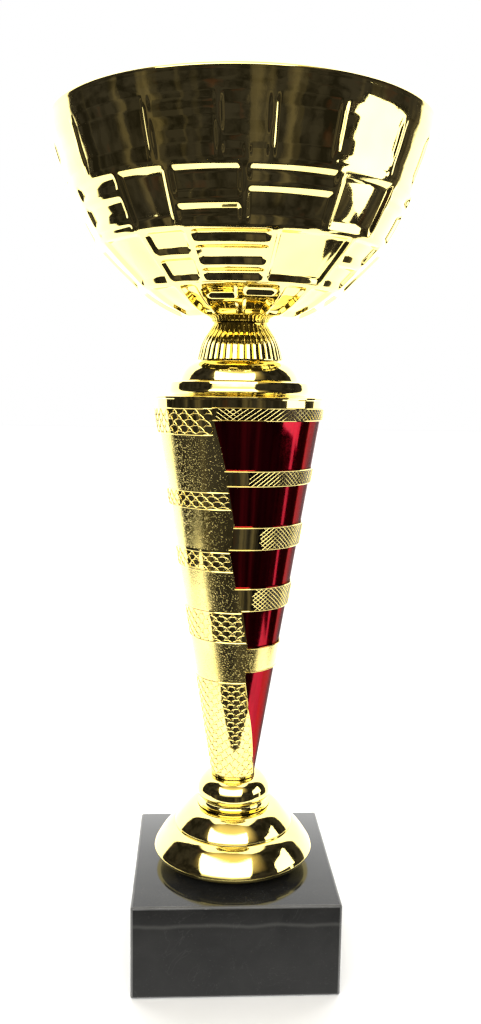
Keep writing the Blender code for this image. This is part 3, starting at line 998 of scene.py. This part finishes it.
def eased(share, soft=0.14):
    """A ramp from 0 to 1 that starts and ends softly."""
    share = np.clip(share, 0.0, 1.0)
    start = share**2 / (2 * soft)
    end = 1.0 - (1.0 - share) ** 2 / (2 * soft)
    middle = (share - soft / 2) / (1.0 - soft)
    start, end = start / (1.0 - soft), 1.0 - (1.0 - end) / (1.0 - soft)
    return np.where(share < soft, start, np.where(share > 1.0 - soft, end, middle))


def pocket_depth(left, right, above, below, relief):
    """How far a pressed panel lies under the ribs, from the distances to its four edges in mm."""
    above, below = above * relief, below * relief
    left, right = left / relief, right / relief
    pull_side = np.clip(1.0 - np.minimum(left, right) / SIDE_WALL, 0.0, None)
    pull_level = np.clip(np.maximum(1.0 - above / TOP_WALL, 1.0 - below / BOTTOM_WALL), 0.0, None)
    share = 1.0 - np.hypot(pull_side, pull_level)
    middle = np.clip(np.minimum(left, right) / 9.0, 0, 1) * np.clip(np.minimum(above, below) / 7.0, 0, 1)
    return POCKET_DEPTH * relief * eased(share) - PILLOW * middle * (2.0 - middle)


def make_panel_row(shape, top, bottom, relief, panels):
    """One row of panels. Returns the top and bottom rings of points and the angles they stand at."""
    middle_radius = float(smooth_radius((top + bottom) / 2))
    degree = math.radians(1.0) * middle_radius
    lefts = np.array([panel[0] for panel in panels])
    path_top, path_bottom = path_lengths(top), path_lengths(bottom)
    uprights = list(lefts) + [SPLIT_PANELS[left] for left in lefts if left in SPLIT_PANELS]
    columns = np.concatenate([wall_lines(a * degree, SIDE_WALL, SIDE_WALL) for a in uprights])
    first = lefts[0] * degree - RIB_HALF
    columns = (columns - first) % (360 * degree) + first
    columns = filled(thin_lines(np.sort(columns), LEAST_GAP), COLUMN_GAP)
    gap = first + 360 * degree - columns[-1]
    if gap > COLUMN_GAP:
        more = np.linspace(columns[-1], first + 360 * degree, int(gap / COLUMN_GAP) + 2)[1:-1]
        columns = np.concatenate([columns, more])
    crosses = sorted({z for panel in panels for z in panel[1:]})
    half = len(wall_lines(0.0, 1.0, 1.0)) // 2
    levels = list(wall_lines(path_bottom, 1.0, BOTTOM_WALL)[half:]) + [path_bottom]
    levels += list(wall_lines(path_top, TOP_WALL, 1.0)[:half]) + [path_top]
    for z in crosses:
        levels += list(wall_lines(path_lengths(z), BOTTOM_WALL, TOP_WALL))
    levels = filled(thin_lines(np.sort(levels), LEAST_GAP), LEVEL_GAP)[::-1]
    grid_u, grid_v = np.meshgrid(columns, levels)
    edges = np.append(lefts * degree, (lefts[0] + 360) * degree)
    depth = np.zeros_like(grid_u)
    for i, (left, *splits) in enumerate(panels):
        bounds = [path_bottom, *sorted(path_lengths(z) for z in splits), path_top]
        for k, (low, high) in enumerate(zip(bounds, bounds[1:])):
            cells = [(edges[i], edges[i + 1])]
            if k == 0 and left in SPLIT_PANELS:
                upright = SPLIT_PANELS[left] * degree
                cells = [(edges[i], upright), (upright, edges[i + 1])]
            for start, end in cells:
                inside = (grid_u >= start) & (grid_u <= end) & (grid_v >= low) & (grid_v <= high)
                found = pocket_depth(
                    grid_u - start - RIB_HALF,
                    end - grid_u - RIB_HALF,
                    high - grid_v - RIB_HALF,
                    grid_v - low - RIB_HALF,
                    relief,
                )
                depth = np.where(inside, np.maximum(found, 0.0), depth)
    depth[grid_u < edges[0]] = 0.0
    depth[0] = depth[-1] = 0.0
    z = heights_at(grid_v)
    step = 0.05
    lean = (smooth_radius(z + step) - smooth_radius(z - step)) / (2 * step)
    length = np.hypot(1.0, lean)
    radius = smooth_radius(z) - depth / length
    height = z + depth * lean / length
    angles = columns / degree
    index = shape.add_polar(radius, angles[None, :], height)
    shape.add_grid(index)
    return index[0], index[-1], angles


def make_bowl():
    shape = Shape()
    even = np.arange(TURN_STEPS) * 360.0 / TURN_STEPS - 80.0
    lip = [
        (66.6, RIM_TOP - 0.55), (66.85, RIM_TOP - 0.12), (67.4, RIM_TOP), (67.95, RIM_TOP - 0.1),
        (68.32, RIM_TOP - 0.45), (68.4, RIM_TOP - 1.0),
    ]
    rings = list(lip)
    rings += [(float(smooth_radius(z)), z) for z in np.linspace(305.8, 301.6, 7)]
    top_part = np.array(rings)
    upper = shape.add_polar(top_part[:, :1], even[None, :], top_part[:, 1:])
    shape.add_grid(upper)
    ring, ring_angles = upper[-1], even
    for row in PANEL_ROWS:
        first, last, angles = make_panel_row(shape, *row)
        shape.add_bridge(ring, ring_angles, first, angles)
        ring, ring_angles = last, angles
    neck_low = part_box("bowl")[0].z / MM
    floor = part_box("bowl_washer")[0].z / MM - 0.3
    neck = [(18.2, 240.65), (15.0, 240.1), (13.2, 239.95), (12.4, 239.8), (11.9, neck_low)]
    neck += [(BORE, neck_low), (BORE, floor)]
    inside = [(12.0, floor), (16.5, floor + 0.25), (20.0, floor + 0.9)]
    for z in np.linspace(246.6, 305.5, 30):
        lean = float(smooth_radius(z + 0.1) - smooth_radius(z - 0.1)) / 0.2
        length = math.hypot(1.0, lean)
        inside.append((float(smooth_radius(z)) - BOWL_WALL / length, z + BOWL_WALL * lean / length))
    inside = [p for p in inside if p[1] < RIM_TOP - 0.9]
    lower_part = np.array(neck + inside)
    lower = shape.add_polar(lower_part[:, :1], even[None, :], lower_part[:, 1:])
    shape.add_grid(lower)
    shape.add_bridge(ring, ring_angles, lower[0], even)
    shape.add_grid(np.stack([lower[-1], upper[0]]))
    mesh = shape.to_mesh("block_bowl", [GOLD], math.radians(50))
    place("block_bowl", mesh, "bowl", "gold_plating")


# ---- camera, stage, light ----

CAMERA_PLACE = (-0.01703, -0.34418, 0.21210)
CAMERA_YAW = 0.0526
CAMERA_PITCH = 0.1214
CAMERA_ROLL = 0.0151
CAMERA_LENS = 32.57


def make_camera():
    data = bpy.data.cameras.new("camera")
    data.lens = CAMERA_LENS
    data.sensor_width = 36.0
    data.clip_start = 0.01
    data.clip_end = 50.0
    camera = bpy.data.objects.new("camera", data)
    forward = np.array(
        [
            math.sin(CAMERA_YAW) * math.cos(CAMERA_PITCH),
            math.cos(CAMERA_YAW) * math.cos(CAMERA_PITCH),
            -math.sin(CAMERA_PITCH),
        ]
    )
    level = np.array([math.cos(CAMERA_YAW), -math.sin(CAMERA_YAW), 0.0])
    upright = np.cross(level, forward)
    c, s = math.cos(CAMERA_ROLL), math.sin(CAMERA_ROLL)
    right = c * level + s * upright
    up = -s * level + c * upright
    matrix = np.eye(4)
    matrix[:3, 0], matrix[:3, 1], matrix[:3, 2], matrix[:3, 3] = right, up, -forward, CAMERA_PLACE
    camera.matrix_world = Matrix(matrix.tolist())
    bpy.context.scene.collection.objects.link(camera)
    bpy.context.scene.camera = camera


def stage_plane(name, corners, material):
    mesh = bpy.data.meshes.new(name)
    mesh.from_pydata(corners, [], [(0, 1, 2, 3)])
    mesh.materials.append(material)
    plane = bpy.data.objects.new(name, mesh)
    bpy.context.scene.collection.objects.link(plane)
    return plane


def rectangle(x0, x1, y0, y1, z):
    return [(x0, y0, z), (x1, y0, z), (x1, y1, z), (x0, y1, z)]


def glow_material(name, colour, strength):
    material = bpy.data.materials.new(name)
    material.use_nodes = True
    tree = material.node_tree
    tree.nodes.clear()
    light = tree.nodes.new("ShaderNodeEmission")
    light.inputs["Color"].default_value = (*colour, 1.0)
    light.inputs["Strength"].default_value = strength
    out = tree.nodes.new("ShaderNodeOutputMaterial")
    tree.links.new(light.outputs[0], out.inputs["Surface"])
    return material


def make_floor():
    """A pale floor for the camera, and the white table top that the polished surfaces mirror."""
    material, tree, shader = new_material("pale_floor")
    mottle = span(tree, noise(tree, place_of(tree), 30.0, 3.0), 0.3, 0.7)
    pale = blend_colours(tree, mottle, (0.90, 0.90, 0.895), (0.93, 0.93, 0.925))
    tree.links.new(pale, shader.inputs["Base Color"])
    shader.inputs["Roughness"].default_value = 0.9
    floor = stage_plane("floor", rectangle(-6, 6, -6, 6, -0.0002), material)
    floor.visible_glossy = False
    make_card("table_card", rectangle(-0.36, 0.245, -0.107, 4, -0.0001), (1.0, 0.99, 0.97), 2.2)


def make_card(name, corners, colour, strength):
    """A card that only mirrors and polished surfaces see."""
    card = stage_plane(name, corners, glow_material(name, colour, strength))
    card.visible_camera = False
    card.visible_diffuse = False
    card.visible_shadow = False


def make_cards():
    """A white panel on a narrow stand to the right, and a bright streak on the table beside it."""
    x = 0.38
    panel = [(x, -0.215, 0.10), (x, 0.01, 0.10), (x, 0.02, 0.285), (x, -0.19, 0.285)]
    make_card("side_panel", panel, (1.0, 1.0, 1.0), 3.2)
    stand = [(x, -0.060, 0.0), (x, -0.022, 0.0), (x, -0.022, 0.10), (x, -0.060, 0.10)]
    make_card("side_stand", stand, (1.0, 1.0, 1.0), 2.2)
    streak = [(0.245, -0.040, 0.0), (0.38, -0.060, 0.0), (0.38, -0.022, 0.0), (0.245, -0.012, 0.0)]
    make_card("table_streak", streak, (1.0, 1.0, 1.0), 2.2)


WHITE_SIDE = 2.3
DARK_ROOM = (0.038, 0.036, 0.046)
DEEP_ROOM = (0.014, 0.013, 0.014)


def make_world():
    """A dark room in front and at the sides, white behind, a bright ceiling and one soft window."""
    world = bpy.data.worlds.new("studio")
    bpy.context.scene.world = world
    world.use_nodes = True
    tree = world.node_tree
    tree.nodes.clear()
    coordinates = tree.nodes.new("ShaderNodeTexCoord")
    parts = tree.nodes.new("ShaderNodeSeparateXYZ")
    tree.links.new(coordinates.outputs["Generated"], parts.inputs[0])
    x, y, z = parts.outputs
    turn = calculate(tree, "ARCTAN2", x, calculate(tree, "MULTIPLY", y, -1.0))
    azimuth = calculate(tree, "MULTIPLY", turn, math.degrees(1.0))
    elevation = calculate(tree, "MULTIPLY", calculate(tree, "ARCSINE", z), math.degrees(1.0))

    def between(value, low, high, soft):
        rise = span(tree, calculate(tree, "SUBTRACT", value, low), -soft, soft, smooth=True)
        fall = span(tree, calculate(tree, "SUBTRACT", value, high), -soft, soft, 1.0, 0.0, smooth=True)
        return calculate(tree, "MULTIPLY", rise, fall)

    room = between(azimuth, -117.0, 117.0, 1.5)
    clutter = noise(tree, coordinates.outputs["Generated"], 5.0, 5.0, 0.62)
    dark = blend_colours(tree, span(tree, clutter, 0.42, 0.60), DARK_ROOM, DEEP_ROOM)
    stripes = tree.nodes.new("ShaderNodeTexNoise")
    stripes.noise_dimensions = "1D"
    tree.links.new(calculate(tree, "MULTIPLY", azimuth, 0.06), stripes.inputs["W"])
    stripes.inputs["Scale"].default_value = 1.0
    stripe = span(tree, stripes.outputs["Fac"], 0.52, 0.68, 0.0, 0.35)
    stripe = calculate(tree, "MULTIPLY", stripe, between(elevation, -40.0, 6.0, 8.0))
    dark = blend_colours(tree, stripe, dark, (0.30, 0.26, 0.22))
    tint = noise(tree, coordinates.outputs["Generated"], 3.1, 3.0, 0.5)
    dark = blend_colours(tree, span(tree, tint, 0.60, 0.70, 0.0, 0.5), dark, (0.075, 0.030, 0.022))
    left = span(tree, elevation, 20.0, 50.0, -47.0, -66.0)
    right = span(tree, elevation, 20.0, 53.0, 22.0, 36.0)
    across = between(azimuth, left, right, 1.5)
    wide = between(azimuth, -58.0, 42.0, 16.0)
    above_glow = span(tree, elevation, 50.0, 84.0, 0.8, 0.0)
    above_glow = calculate(tree, "MULTIPLY", above_glow, span(tree, elevation, 30.0, 50.0))
    haze = blend_colours(tree, calculate(tree, "MULTIPLY", above_glow, wide), dark, (1.7, 1.4, 0.8))
    below_glow = calculate(tree, "MULTIPLY", across, between(elevation, 13.0, 24.0, 4.0))
    haze = blend_colours(tree, below_glow, haze, (1.3, 1.25, 1.1))
    backdrop = blend_colours(tree, room, (WHITE_SIDE, WHITE_SIDE, WHITE_SIDE * 0.985), haze)
    sideways = calculate(tree, "ABSOLUTE", calculate(tree, "ADD", azimuth, 10.0))
    aside = span(tree, sideways, 30.0, 60.0, 77.0, 62.0)
    over = calculate(tree, "SUBTRACT", elevation, aside)
    above = blend_colours(tree, span(tree, over, -2.0, 2.0, smooth=True), backdrop, (2.2, 2.17, 2.05))
    window = calculate(tree, "MULTIPLY", across, between(elevation, 21.0, 50.0, 2.0))
    lit = blend_colours(tree, window, above, (4.5, 4.5, 4.5))
    rays = tree.nodes.new("ShaderNodeLightPath")
    shown = blend_colours(tree, rays.outputs["Is Camera Ray"], lit, (1.0, 1.0, 1.0))
    background = tree.nodes.new("ShaderNodeBackground")
    tree.links.new(shown, background.inputs["Color"])
    out = tree.nodes.new("ShaderNodeOutputWorld")
    tree.links.new(background.outputs[0], out.inputs["Surface"])


# ---- build ----

make_marble_base()
make_washer("base_washer_flat", "base_washer", 12.0)
make_washer("bowl_washer_flat", "bowl_washer", 8.5)
make_base_nut()
make_bowl_nut()
make_tie_rod()
make_foot()
make_neck_ring()
make_column_core()
make_column_sleeve()
make_column_cap()
make_fluted_riser()
make_bowl()
make_floor()
make_cards()
make_world()
make_camera()
bpy.context.scene.view_settings.view_transform = "Standard"
